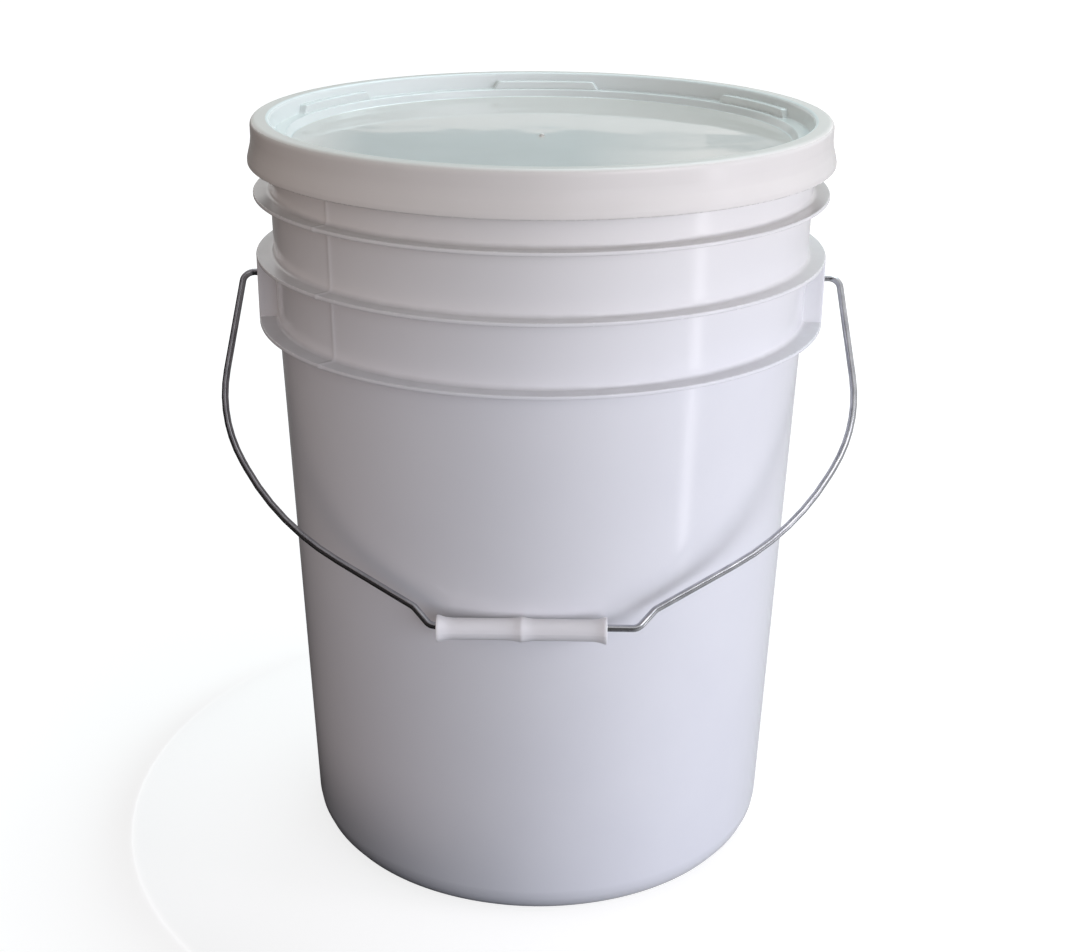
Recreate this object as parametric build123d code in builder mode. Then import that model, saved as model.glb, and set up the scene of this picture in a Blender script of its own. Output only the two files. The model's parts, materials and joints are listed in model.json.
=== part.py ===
"""A lidded plastic pail with a wire bail and a roller grip, in millimetres.

The pail stands on the XY plane, +Z is up and the Z axis is the pail's own axis.
The ears are on the X axis, and at rest the bail hangs down the front, towards -Y.
"""

import os
from math import asin, atan2, cos, degrees, radians, sin, tan

from build123d import *

# Pail wall and floor
pail_height = 402.0
wall_thickness = 2.2
base_radius = 129.3
shoulder_radius = 140.1
neck_flare = 1.5
base_corner_radius = 18.0
floor_thickness = 2.5
foot_width = 9.0
foot_height = 3.0

# Flange rings, with each spacing measured between undersides
ring_thickness = 2.0
top_ring_drop = 33.7
upper_ring_spacing = 32.6
lower_ring_spacing = 34.7
ring_fillet = 2.0
ring_edge_radius = 0.7

# Rim and widened mouth
mouth_step = 3.6
mouth_depth = 10.0
bead_depth = 1.8
bead_height = 4.0
rim_edge_radius = 0.7

# Ears between the two lower rings, flush with the rings
ear_width = 50.0
ear_web = 2.4
ear_plate = 3.0
pocket_clearance = 0.9
pivot_rise = 17.5
pivot_clearance = 0.35

# Lid
lid_wall = 2.0
crown_thickness = 2.4
crown_outer_rounding = 3.0
crown_inner_rounding = 1.5
plug_clearance = 0.8
plug_draft = 1.7
skirt_clearance = 0.8
skirt_height = 22.0
lip_overhang = 2.2
lip_height = 6.0
lip_edge = 2.4
lip_rounding = 6.0
snap_clearance = 0.35
snap_height = 2.4
ledge_depth = 8.5
ledge_width = 6.5
panel_depth = 12.4
panel_step_run = 2.0
recess_rounding = 0.8
block_length = 64.0
block_height = 4.2
block_depth = 3.5
block_ramp = 4.0
block_pairs = 3
nub_diameter = 2.6
nub_height = 1.5

# Lid gasket
gasket_thickness = 2.6
gasket_clearance = 0.3

# Bail wire
wire_diameter = 3.6
bail_length = 199.1
hook_length = 8.0
leg_clearance = 7.5
elbow_radius = 6.0
leg_lean = 5.6
shoulder_drop = 88.0
shoulder_bend = 90.0
slant_run = 35.9
slant_drop = 59.0
slant_reach = 36.0
jog_run = 8.4
jog_rise = 9.8
jog_bend = 6.0

# Handle grip
grip_length = 83.5
grip_wall = 1.9
grip_end_rise = 1.3
grip_ridge_rise = 1.05
grip_collar = 1.2
grip_flare = 7.5
bore_clearance = 1.7
bore_gap = 0.3
grip_end_play = 6.3
grip_end_gap = 0.3
rest_gap = 0.3

# Levels and radii that follow from the driving dimensions
top_ring_z = pail_height - top_ring_drop
middle_ring_z = top_ring_z - upper_ring_spacing
lowest_ring_z = middle_ring_z - lower_ring_spacing
neck_radius = shoulder_radius + neck_flare
mouth_radius = neck_radius - wall_thickness + mouth_step
rim_radius = mouth_radius + wall_thickness
bead_radius = rim_radius + bead_depth
mouth_floor_z = pail_height - mouth_depth
neck_top_z = mouth_floor_z - mouth_step
pocket_inner_radius = neck_radius
pocket_outer_radius = pocket_inner_radius + wire_diameter + 2 * pocket_clearance
ring_radius = pocket_outer_radius + ear_plate
ring_edge = min(ring_edge_radius, 0.4 * ring_thickness)
ear_floor_z = lowest_ring_z + ring_thickness
pivot_z = ear_floor_z + pivot_rise


def wall_radius(height):
    """Outer radius of the wall: a cone up to the lowest ring, then a steeper neck."""
    if height < lowest_ring_z:
        return base_radius + (shoulder_radius - base_radius) * height / lowest_ring_z
    share = (height - lowest_ring_z) / (neck_top_z - lowest_ring_z)
    return shoulder_radius + neck_flare * share


def ring_corners(underside):
    """Corners of one flange ring from the wall below it to the wall above, as (r, z, rounding)."""
    top = underside + ring_thickness
    return [
        (wall_radius(underside), underside, 0),
        (ring_radius, underside, ring_edge),
        (ring_radius, top, ring_edge),
        (wall_radius(top), top, ring_fillet),
    ]


def rounded_outline(corners):
    """Closed outline through (r, z, rounding) corners."""
    points = [(r, z) for r, z, _ in corners]
    FilletPolyline(*points, radius=[rounding for _, _, rounding in corners], close=True)


# Pail body: one revolved wall, then the two ears
foot_inner = base_radius - base_corner_radius - foot_width
floor_z = foot_height + floor_thickness
base_inner = wall_radius(floor_thickness) - wall_thickness
pail_outside = [
    (0, foot_height, 0),
    (foot_inner - foot_height, foot_height, 0),
    (foot_inner, 0, 0),
    (base_radius, 0, base_corner_radius),
    *ring_corners(lowest_ring_z),
    *ring_corners(middle_ring_z),
    *ring_corners(top_ring_z),
    (neck_radius, neck_top_z, 0),
    (rim_radius, mouth_floor_z, 0),
    (rim_radius, pail_height - bead_height - bead_depth, 0),
    (bead_radius, pail_height - bead_height, rim_edge_radius),
    (bead_radius, pail_height, rim_edge_radius),
]
pail_inside = [
    (mouth_radius, pail_height, rim_edge_radius),
    (mouth_radius, mouth_floor_z, 0),
    (neck_radius - wall_thickness, neck_top_z, 0),
    (shoulder_radius - wall_thickness, lowest_ring_z, 0),
    (base_inner, floor_thickness, base_corner_radius - wall_thickness),
    (foot_inner, floor_thickness, 0),
    (foot_inner - foot_height, floor_z, 0),
    (0, floor_z, 0),
]
ear_root_radius = wall_radius((middle_ring_z + lowest_ring_z) / 2) - wall_thickness / 2

with BuildPart() as pail_body:
    with BuildSketch(Plane.XZ):
        with BuildLine():
            rounded_outline(pail_outside + pail_inside)
        make_face()
    revolve(axis=Axis.Z)
    # Solid ears fill the space between the two lower rings
    with BuildSketch(Plane.XY.offset(ear_floor_z)):
        Circle(ring_radius)
        Rectangle(2 * ring_radius, ear_width, mode=Mode.INTERSECT)
        Circle(ear_root_radius, mode=Mode.SUBTRACT)
    extrude(amount=middle_ring_z - ear_floor_z)
    # Each ear is hollow and open from below, through the lowest ring
    with BuildSketch(Plane.XY.offset(lowest_ring_z)):
        Circle(pocket_outer_radius)
        Rectangle(2 * ring_radius, ear_width - 2 * ear_web, mode=Mode.INTERSECT)
        Circle(pocket_inner_radius, mode=Mode.SUBTRACT)
    extrude(amount=middle_ring_z - lowest_ring_z, mode=Mode.SUBTRACT)
    # One round hole through each ear's outer plate takes the wire
    for side in (1, -1):
        with BuildSketch(Plane(origin=(side * pocket_inner_radius, 0, pivot_z), z_dir=(side, 0, 0))):
            Circle(wire_diameter / 2 + pivot_clearance)
        extrude(amount=ring_radius - pocket_inner_radius, mode=Mode.SUBTRACT)

# Lid: crown and skirt over the rim, plug inside it, and a recessed panel
crown_under_z = pail_height + gasket_thickness
crown_z = crown_under_z + crown_thickness
lip_z = crown_z - skirt_height
ledge_z = crown_z - ledge_depth
panel_z = crown_z - panel_depth
plug_radius = mouth_radius - plug_clearance
crown_inner = plug_radius - lid_wall
ledge_radius = crown_inner - plug_draft
step_radius = ledge_radius - ledge_width
panel_radius = step_radius - panel_step_run
skirt_inner = bead_radius + skirt_clearance
skirt_outer = skirt_inner + lid_wall
lip_radius = skirt_outer + lip_overhang
snap_radius = bead_radius + snap_clearance
snap_z = pail_height - bead_height - bead_depth - snap_height / 2
lid_outside = [
    (0, panel_z, 0),
    (panel_radius, panel_z, recess_rounding),
    (step_radius, ledge_z, recess_rounding),
    (ledge_radius, ledge_z, recess_rounding),
    (crown_inner, crown_z, crown_inner_rounding),
    (skirt_outer, crown_z, crown_outer_rounding),
    (skirt_outer, lip_z + lip_height, lip_rounding),
    (lip_radius, lip_z + lip_edge, 0),
    (lip_radius, lip_z, 0),
]
lid_inside = [
    (lip_radius - lid_wall, lip_z, 0),
    (skirt_inner, lip_z + lip_height, 0),
    (skirt_inner, snap_z - snap_height / 2, 0),
    (snap_radius, snap_z, 0),
    (skirt_inner, snap_z + snap_height / 2, 0),
    (skirt_inner, crown_under_z, 0),
    (plug_radius, crown_under_z, 0),
    (ledge_radius + lid_wall, ledge_z - lid_wall, 0),
    (step_radius + lid_wall, ledge_z - lid_wall, 0),
    (panel_radius + lid_wall, panel_z - lid_wall, 0),
    (0, panel_z - lid_wall, 0),
]
block_top_z = ledge_z + block_height
block_back = ledge_radius + lid_wall / 2

# Low stacking blocks on the ledge: bars with ramped ends, kept where they cross one ring
with BuildPart() as stacking_blocks:
    for pair in range(block_pairs):
        turn = radians(180 * pair / block_pairs)
        across = (cos(turn), sin(turn), 0)
        along = (sin(turn), -cos(turn), 0)
        with BuildSketch(Plane(origin=(0, 0, 0), x_dir=across, z_dir=along)):
            with BuildLine():
                Polyline(
                    (-block_length / 2, ledge_z),
                    (block_length / 2, ledge_z),
                    (block_length / 2 - block_ramp, block_top_z),
                    (block_ramp - block_length / 2, block_top_z),
                    close=True,
                )
            make_face()
        extrude(amount=skirt_outer, both=True)
    with BuildSketch(Plane.XZ):
        with BuildLine():
            Polyline(
                (ledge_radius - block_depth, ledge_z),
                (block_back, ledge_z),
                (block_back + plug_draft * block_height / ledge_depth, block_top_z),
                (ledge_radius - block_depth, block_top_z),
                close=True,
            )
        make_face()
    revolve(axis=Axis.Z, mode=Mode.INTERSECT)

with BuildPart() as lid:
    with BuildSketch(Plane.XZ):
        with BuildLine():
            rounded_outline(lid_outside + lid_inside)
        make_face()
    revolve(axis=Axis.Z)
    add(stacking_blocks.part)
    # Small gate nub in the middle of the panel
    with BuildSketch(Plane.XY.offset(panel_z)):
        Circle(nub_diameter / 2)
    extrude(amount=nub_height)

# Lid gasket: a flat ring between the crown and the rim
with BuildPart() as lid_gasket:
    with BuildSketch(Plane.XY.offset(pail_height)):
        Circle(skirt_inner - gasket_clearance)
        Circle(plug_radius + gasket_clearance, mode=Mode.SUBTRACT)
    extrude(amount=gasket_thickness)

# Grip section, from the wire outwards
bore_radius = wire_diameter / 2 + bore_clearance
waist_radius = bore_radius + grip_wall
ridge_radius = waist_radius + grip_ridge_rise
end_radius = waist_radius + grip_end_rise

# Rest position of the bail: the grip hangs on the wire with its ridge against the sloping wall
bore_drop = bore_clearance - bore_gap
wall_lean = atan2(shoulder_radius - base_radius, lowest_ring_z)
rest_reach = base_radius + ridge_radius + rest_gap + (pivot_z - bore_drop) * tan(wall_lean)
bail_angle = asin(rest_reach * cos(wall_lean) / bail_length) - wall_lean
grip_y = -bail_length * sin(bail_angle)
grip_z = pivot_z - bail_length * cos(bail_angle) - bore_drop

# Bail wire: one half of its route in its own plane, x to the side and y away from the pivots
hook_x = (pocket_inner_radius + pocket_outer_radius) / 2
hook_bend = pocket_outer_radius - hook_x
leg_x = lip_radius + leg_clearance
shoulder_x = leg_x + leg_lean
straight_half = grip_length / 2 + grip_end_play
jog_x = straight_half + jog_bend * tan(atan2(jog_rise, jog_run) / 2)
slant_x = shoulder_x - slant_run
slant_y = shoulder_drop + slant_drop
jog_slope = atan2(bail_length - jog_rise - slant_y, slant_x - jog_x - jog_run)
slant_bend = slant_reach / tan((atan2(slant_drop, slant_run) - jog_slope) / 2)
half_route = [
    (hook_x, -hook_length),
    (hook_x, 0),
    (leg_x, 0),
    (shoulder_x, shoulder_drop),
    (slant_x, slant_y),
    (jog_x + jog_run, bail_length - jog_rise),
    (jog_x, bail_length),
]
half_bends = [hook_bend, elbow_radius, shoulder_bend, slant_bend, jog_bend, jog_bend]
route = half_route + [(-x, y) for x, y in reversed(half_route)]
bends = half_bends + half_bends[::-1]
bail_plane = Plane(
    origin=(0, 0, pivot_z),
    x_dir=(1, 0, 0),
    z_dir=(0, cos(bail_angle), -sin(bail_angle)),
)

with BuildPart() as bail_wire:
    with BuildLine(bail_plane) as wire_line:
        FilletPolyline(*route, radius=bends)
    with BuildSketch(wire_line.line ^ 0):
        Circle(wire_diameter / 2)
    sweep(path=wire_line.line)

# Handle grip: two hollowed halves that meet in a ridge, slid to one end of the wire's straight middle
grip_x = grip_end_gap - grip_end_play
grip_plane = Plane(origin=(grip_x, grip_y, grip_z), x_dir=(1, 0, 0), z_dir=(0, -1, 0))
grip_axis = Axis((grip_x, grip_y, grip_z), (1, 0, 0))
collar_x = grip_length / 2 - grip_collar

with BuildPart() as handle_grip:
    with BuildSketch(grip_plane):
        with BuildLine():
            Polyline(
                (0, ridge_radius),
                (0, bore_radius),
                (grip_length / 2, bore_radius),
                (grip_length / 2, end_radius),
                (collar_x, end_radius),
            )
            Line((collar_x - grip_flare, waist_radius), (grip_flare, waist_radius))
            TangentArc((collar_x - grip_flare, waist_radius), (collar_x, end_radius), tangent=(1, 0))
            TangentArc((grip_flare, waist_radius), (0, ridge_radius), tangent=(-1, 0))
        make_face()
        mirror(about=Plane.YZ)
    revolve(axis=grip_axis)

# Names, and one file for each piece
pieces = {
    "pail_body": pail_body,
    "lid": lid,
    "lid_gasket": lid_gasket,
    "bail_wire": bail_wire,
    "handle_grip": handle_grip,
}
os.makedirs("parts", exist_ok=True)
for name, piece in pieces.items():
    piece.part.label = name
    export_step(piece.part, f"parts/{name}.step")
print(f"pivot height {pivot_z:.2f}, rest angle {degrees(bail_angle):.3f}, crown height {crown_z:.2f}")
print(f"grip axis at x {grip_x:.2f}, y {grip_y:.3f}, z {grip_z:.3f}")
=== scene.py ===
"""A lidded white pail with a wire bail: smooth surfaces, finishes and a studio round its solids."""

import json
import math
from functools import partial

import bpy
import numpy as np
from bpy.props import FloatProperty, FloatVectorProperty, IntProperty, PointerProperty
from mathutils import Matrix, Vector


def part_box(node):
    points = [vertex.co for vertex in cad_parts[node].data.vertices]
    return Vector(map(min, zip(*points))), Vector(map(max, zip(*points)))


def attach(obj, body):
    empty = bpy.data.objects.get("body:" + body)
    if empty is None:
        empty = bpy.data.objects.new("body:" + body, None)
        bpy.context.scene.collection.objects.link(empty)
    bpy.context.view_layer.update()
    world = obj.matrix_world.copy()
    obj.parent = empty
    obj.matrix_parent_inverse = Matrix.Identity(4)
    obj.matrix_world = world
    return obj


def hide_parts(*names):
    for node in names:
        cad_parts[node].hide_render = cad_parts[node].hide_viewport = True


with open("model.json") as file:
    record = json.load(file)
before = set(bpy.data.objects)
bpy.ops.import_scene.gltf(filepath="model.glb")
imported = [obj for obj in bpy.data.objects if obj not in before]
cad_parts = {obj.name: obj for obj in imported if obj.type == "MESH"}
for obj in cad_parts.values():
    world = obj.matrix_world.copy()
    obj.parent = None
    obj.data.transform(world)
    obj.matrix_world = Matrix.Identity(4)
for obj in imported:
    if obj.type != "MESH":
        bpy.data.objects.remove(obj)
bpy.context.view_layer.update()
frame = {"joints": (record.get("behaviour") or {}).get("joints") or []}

bl_info = {
    "name": "Lidded pail",
    "version": (1, 0, 0),
    "blender": (4, 5, 0),
    "location": "3D View > Sidebar > Pail",
    "description": "Builds a lidded pail with a wire bail, and a studio to show it in",
    "category": "Add Mesh",
}

MM = 0.001
JOINTS = {joint["name"]: joint for joint in frame["joints"]}
PAIL_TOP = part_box("pail_body")[1]
LID_LOW, LID_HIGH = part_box("lid")
GRIP_LOW, GRIP_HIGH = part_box("handle_grip")
PIVOT = Vector(JOINTS["bail_swing"]["pos_m"])
GRIP_AXIS = Vector(JOINTS["grip_roll"]["pos_m"])

TINY = 1e-6  # lengths and angles under this count as nothing
FULL_TURN = np.radians(np.arange(360))
# Roundings of the mouldings: an edge that looks sharp, an outer edge and a fold of the wall
SHARP, SOFT, FOLD = 0.25 * MM, 0.7 * MM, 1.0 * MM
# Extra points this far beside an arc keep a straight run flat under smooth shading
SUPPORT = 0.8 * MM
CRISP_TURN = math.radians(35)  # edges of a crisp mesh that turn by more stay sharp
# The slot behind each ear: half its opening, and how far outside the neck it starts
SLOT_TURN, SLOT_GAP = math.radians(9), 0.6 * MM
# Columns across a moulding seam, in half widths of its ridge
SEAM_COLUMNS = np.linspace(-1.6, 1.6, 9)
# A Mix node's two sockets for colours, and what makes it mix them
MIX_A, MIX_B, COLOUR_MIX = 6, 7, {"out": 2, "data_type": "RGBA"}
# The camera's place and turns, its focal length and image width in pixels, and its sensor in millimetres
CAMERA_PLACE = (-0.0022, -0.8788, 0.5534)
CAMERA_PITCH, CAMERA_ROLL, CAMERA_YAW = 0.3781, 0.0062, math.radians(1.0)
FOCAL_PIXELS, IMAGE_WIDTH, SENSOR_WIDTH = 1681.7, 1071, 36.0


def length(name, description, millimetres):
    """One length property, with its default given in millimetres."""
    return FloatProperty(name=name, description=description, default=millimetres * MM, unit="LENGTH")


def linear(hex_code):
    """An sRGB hex colour as linear red, green and blue."""
    share = np.array([int(hex_code[i:i + 2], 16) for i in (1, 3, 5)]) / 255
    return tuple(np.where(share <= 0.04045, share / 12.92, ((share + 0.055) / 1.055) ** 2.4))


def colour(name, description, hex_code):
    """One colour property, with its default given as an sRGB hex value."""
    return FloatVectorProperty(name=name, description=description, default=linear(hex_code),
                               subtype="COLOR")


class PailSizes(bpy.types.PropertyGroup):
    """Sizes of the pail's wall, rings, rim and ears."""

    height: length("Height", "Rim above the floor", PAIL_TOP.z / MM)
    wall: length("Wall", "Thickness of the wall", 2.2)
    base_radius: length("Base radius", "Wall's radius run down to the floor", 129.3)
    shoulder_radius: length("Shoulder radius", "Wall's radius under the lowest ring", 140.1)
    neck_radius: length("Neck radius", "Wall's radius where the mouth widens", 141.6)
    base_corner: length("Base corner", "Rounding between wall and floor", 18.0)
    floor: length("Floor", "Thickness of the floor", 2.5)
    foot_inner: length("Foot radius", "Inner radius of the foot ring", 102.3)
    foot_height: length("Foot height", "Rise of the panel inside the foot ring", 3.0)
    ring_radius: length("Ring radius", "Outer radius of the flange rings", PAIL_TOP.x / MM)
    ring: length("Ring", "Thickness of each flange ring", 2.0)
    lowest_ring: length("Lowest ring", "Height of its underside", 301.0)
    middle_ring: length("Middle ring", "Height of its underside", 335.7)
    top_ring: length("Top ring", "Height of its underside", 368.3)
    ring_fillet: length("Ring fillet", "Rounding from each ring's top into the wall", 2.0)
    mouth_radius: length("Mouth radius", "Inner radius of the widened mouth", 143.0)
    mouth_depth: length("Mouth depth", "Depth of the widened mouth", 10.0)
    bead_radius: length("Bead radius", "Outer radius of the rim's bead", 147.0)
    bead_height: length("Bead height", "Height of the rim's bead", 4.0)
    ear_width: length("Ear width", "Width of each ear", 50.0)
    ear_plate: length("Ear plate", "Thickness of each ear's outer plate", 3.0)
    ear_web: length("Ear web", "Thickness of each ear's side webs", 2.4)
    ear_hole: length("Ear hole", "Radius of the hole for the wire", 2.15)
    seam_height: length("Seam height", "Height of the fine line left by the mould's split", 0.32)
    seam_width: length("Seam width", "Half width of that line", 1.4)
    seam_turn: FloatProperty(name="Seam angle", description="Direction of the seam from +X",
                             default=math.radians(225.3), unit="ROTATION")


class LidSizes(bpy.types.PropertyGroup):
    """Sizes of the lid."""

    crown: length("Crown", "Height of the crown's top", LID_HIGH.z / MM)
    lip: length("Lip", "Height of the lower edge", LID_LOW.z / MM)
    lip_radius: length("Lip radius", "Outer radius of the lower edge", LID_HIGH.x / MM)
    skirt_radius: length("Skirt radius", "Outer radius of the skirt", 149.8)
    wall: length("Wall", "Thickness of the skirt and the plug", 2.0)
    crown_thickness: length("Crown thickness", "Thickness of the crown", 2.4)
    crown_inner: length("Crown inner radius", "Radius where the crown turns down inside", 140.2)
    ledge_radius: length("Ledge radius", "Outer radius of the ledge inside", 138.5)
    ledge_width: length("Ledge width", "Width of the ledge", 6.5)
    ledge_depth: length("Ledge depth", "Ledge below the crown", 8.5)
    panel_depth: length("Panel depth", "Panel below the crown", 12.4)
    block_length: length("Block length", "Length of each stacking block", 64.0)
    block_height: length("Block height", "Height of each stacking block", 4.2)
    block_depth: length("Block depth", "Reach of each stacking block towards the middle", 3.5)
    block_ramp: length("Block ramp", "Length of each block's sloping ends", 4.0)
    block_count: IntProperty(name="Blocks", description="Number of stacking blocks", default=6)
    nub_radius: length("Nub radius", "Radius of the gate nub", 1.3)
    nub_height: length("Nub height", "Height of the gate nub", 1.5)


class BailSizes(bpy.types.PropertyGroup):
    """Sizes of the bent wire, as it lies in its own plane."""

    wire_radius: length("Wire radius", "Radius of the wire", 1.8)
    hook_x: length("Hook", "Distance of the hooked end from the middle", 144.3)
    hook_length: length("Hook length", "Length of the hooked end", 8.0)
    hook_bend: length("Hook bend", "Bend of the hooked end", 2.7)
    leg_x: length("Leg", "Distance of the leg from the middle", 159.5)
    elbow: length("Elbow", "Bend from the ear into the leg", 6.0)
    shoulder_x: length("Shoulder", "Widest distance from the middle", 165.1)
    shoulder_drop: length("Shoulder drop", "Shoulder below the ear", 88.0)
    shoulder_bend: length("Shoulder bend", "Bend at the shoulder", 90.0)
    slant_x: length("Slant", "Distance of the second bend from the middle", 129.2)
    slant_drop: length("Slant drop", "Second bend below the ear", 147.0)
    slant_bend: length("Slant bend", "Bend between the two slopes", 147.0)
    jog_x: length("Jog", "Distance of the grip's stop from the middle", 50.81)
    jog_run: length("Jog run", "Sideways run of the stop", 8.4)
    jog_rise: length("Jog rise", "Rise of the stop", 9.8)
    jog_bend: length("Jog bend", "Bends at the stop", 6.0)


class GripSizes(bpy.types.PropertyGroup):
    """Sizes of the roller grip."""

    half_length: length("Half length", "Half of its length", (GRIP_HIGH.x - GRIP_LOW.x) / 2 / MM)
    bore: length("Bore", "Radius of the bore", 3.5)
    waist: length("Waist", "Radius of the waist", 5.4)
    ridge: length("Ridge", "Radius of the ridge in the middle", 6.45)
    end: length("End", "Radius of the two ends", (GRIP_HIGH.z - GRIP_LOW.z) / 2 / MM)
    collar: length("Collar", "Straight length at each end", 1.2)
    flare: length("Flare", "Length of each hollowed flare", 7.5)
    drop: length("Drop", "Grip's axis below the wire's", 1.4)


class PailFinishes(bpy.types.PropertyGroup):
    """Colours of the pieces and the stage."""

    pail: colour("Pail", "Pail plastic", "#e3e4e8")
    pail_cloud: colour("Pail clouding", "Cloudy patches of the pail plastic", "#d9dae0")
    # Painted light: the pail's warmer colour near the rim stands in for warm light falling from above
    pail_warm_light: colour("Pail top", "Pail plastic near the rim, yellowed a little by light", "#e1deda")
    lid: colour("Lid", "Lid plastic", "#e6e1db")
    lid_cloud: colour("Lid clouding", "Cloudy patches of the lid plastic", "#dbd6cf")
    # Painted light: the recess's paler, greener colour stands in for light that comes through the thin
    # plastic there
    lid_recess_light: colour("Lid recess", "Lid plastic in the recess, not greyed by handling", "#eaeeeb")
    grip: colour("Grip", "Grip plastic", "#eae8e8")
    grip_cloud: colour("Grip clouding", "Cloudy patches of the grip plastic", "#e0dede")
    zinc: colour("Zinc", "Bright zinc on the wire", "#c0c1c5")
    zinc_dull: colour("Dull zinc", "Duller streaks of the zinc", "#94959a")
    seal: colour("Seal", "Seal rubber", "#8a8a86")
    floor: colour("Floor", "Studio floor, as it lights the pail", "#3c424c")
    room: colour("Room", "Room around the studio, as it lights the pail", "#8c8c8d")


def unit(rows):
    """Each row divided by its length."""
    return rows / np.linalg.norm(rows, axis=1)[:, None]


def wrapped(angle):
    """Angles brought to within half a turn of zero."""
    return np.angle(np.exp(1j * angle))


def stacked(*parts):
    """One array of points from arrays of each coordinate, spread to one shape."""
    return np.stack(np.broadcast_arrays(*parts), -1)


def rounded_path(corners, closed, arc_step=math.radians(15), support=0.0):
    """Points along straight runs and tangent arcs through (x, y, radius) corners.

    Each arc starts a tangent length, radius times tan(half the turn), before its corner and sweeps
    the turn about its centre. Runs longer than three supports get a point one support from each arc.
    Returns the points and, for each point, the number of its corner.
    """
    corners = np.asarray(corners, float)
    point, radius = corners[:, :2], corners[:, 2].copy()
    before, after = unit(point - np.roll(point, 1, 0)), unit(np.roll(point, -1, 0) - point)
    turn = np.arctan2(before[:, 0] * after[:, 1] - before[:, 1] * after[:, 0],
                      (before * after).sum(1))
    if not closed:
        turn[[0, -1]] = 0
    bent = np.abs(turn) > TINY
    radius[~bent] = 0
    reach = radius * np.tan(np.abs(turn) / 2)
    side = stacked(-before[:, 1], before[:, 0]) * np.sign(turn)[:, None]
    start = point - before * reach[:, None]
    centre = start + side * radius[:, None]
    counts = np.where(bent, np.ceil(np.abs(turn) / arc_step).astype(int) + 1, 1)
    owner = np.repeat(np.arange(len(point)), counts)
    step = np.arange(counts.sum()) - np.repeat(np.cumsum(counts) - counts, counts)
    share = step / np.maximum(counts[owner] - 1, 1)
    angle = turn[owner] * share
    spoke = -side[owner] * radius[owner, None]
    cos, sin = np.cos(angle), np.sin(angle)
    arcs = stacked(spoke[:, 0] * cos - spoke[:, 1] * sin, spoke[:, 0] * sin + spoke[:, 1] * cos)
    # Keys put the points in order: an arc's from its corner's number, then the supports of the run
    points, keys, owners = [centre[owner] + arcs], [owner + 0.5 * share], [owner]
    if support:
        leave = point + after * reach[:, None]
        arrive = np.roll(start, -1, 0)
        room = np.linalg.norm(arrive - leave, axis=1) > 3 * support
        if not closed:
            room[-1] = False
        for kept, place, key in (
            (room & bent, leave + after * support, 0.6),
            (room & np.roll(bent, -1), arrive - after * support, 0.8),
        ):
            points.append(place[kept])
            keys.append(np.flatnonzero(kept) + key)
            owners.append(np.flatnonzero(kept))
    order = np.argsort(np.concatenate(keys), kind="stable")
    return np.concatenate(points)[order], np.concatenate(owners)[order]


def grid_quads(rows, columns, close_rows=False, close_columns=True):
    """Quads of a grid of rows by columns, closed along either way, as (row, column, corner) indices."""
    row = np.arange(rows if close_rows else rows - 1)[:, None]
    column = np.arange(columns if close_columns else columns - 1)[None, :]
    next_row, next_column = (row + 1) % rows, (column + 1) % columns
    return stacked(row * columns + column, row * columns + next_column,
                   next_row * columns + next_column, next_row * columns + column)


def fan(pole, ring):
    """Triangles that join one pole to a closed ring of vertices."""
    return np.stack([np.full(len(ring), pole), ring, np.roll(ring, -1)], 1)


def capped_tube(grid, ends):
    """A grid of closed rows, shut by a fan to one point at each end: its points, quads and fans."""
    rows, columns = grid.shape[:2]
    ring = np.arange(columns)
    fans = [fan(rows * columns, ring[::-1]), fan(rows * columns + 1, ring + (rows - 1) * columns)]
    return np.concatenate([grid.reshape(-1, 3), ends]), grid_quads(rows, columns), fans


def looped_tube(grid):
    """A grid of closed rows whose last row joins its first: its points and a block of quads."""
    return grid.reshape(-1, 3), [grid_quads(*grid.shape[:2], close_rows=True).reshape(-1, 4)]


def outward(points, faces):
    """Faces turned so that the closed surface holds a positive volume: a sum of triple products."""
    def volume(block):
        a, b = points[block[:, 0]], points[block[:, 1:-1]]
        c = points[block[:, 2:]]
        return np.einsum("ij,ikj->", a, np.cross(b, c))
    total = sum(volume(block) for block in faces)
    return [block[:, ::-1] for block in faces] if total < 0 else faces


def make_mesh(name, shells, crisp=False):
    """One smooth mesh of closed shells, each a pair of points and face blocks.

    A crisp mesh keeps its square edges.
    """
    points, faces, first = [], [], 0
    for shell_points, shell_faces in shells:
        for block in outward(shell_points, shell_faces):
            faces += (block + first).tolist()
        points.append(shell_points)
        first += len(shell_points)
    mesh = bpy.data.meshes.new(name)
    mesh.from_pydata(np.concatenate(points).tolist(), [], faces)
    mesh.polygons.foreach_set("use_smooth", np.ones(len(faces), bool))
    if crisp:
        mesh.set_sharp_from_angle(angle=CRISP_TURN)
    mesh.update()
    if mesh.validate():
        raise RuntimeError(f"{name}: the mesh had faults")
    return mesh


def point_layer(mesh, name, values):
    """One number for each point of a mesh, which its material reads."""
    layer = mesh.attributes.new(name, "FLOAT", "POINT")
    layer.data.foreach_set("value", np.asarray(values, np.float32))


def place_piece(name, mesh, body, material, replaced=()):
    """An object at the origin that rides on a body, with its finish and the solids it stands for."""
    mesh.materials.append(material)
    piece = bpy.data.objects.new(name, mesh)
    bpy.context.scene.collection.objects.link(piece)
    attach(piece, body)
    if replaced:
        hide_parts(*replaced)


def profile_normals(points):
    """Unit normals at the right of an open profile, from the slope between each point's neighbours."""
    slope = unit(np.gradient(points, axis=0))
    return stacked(slope[:, 1], -slope[:, 0])


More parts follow.
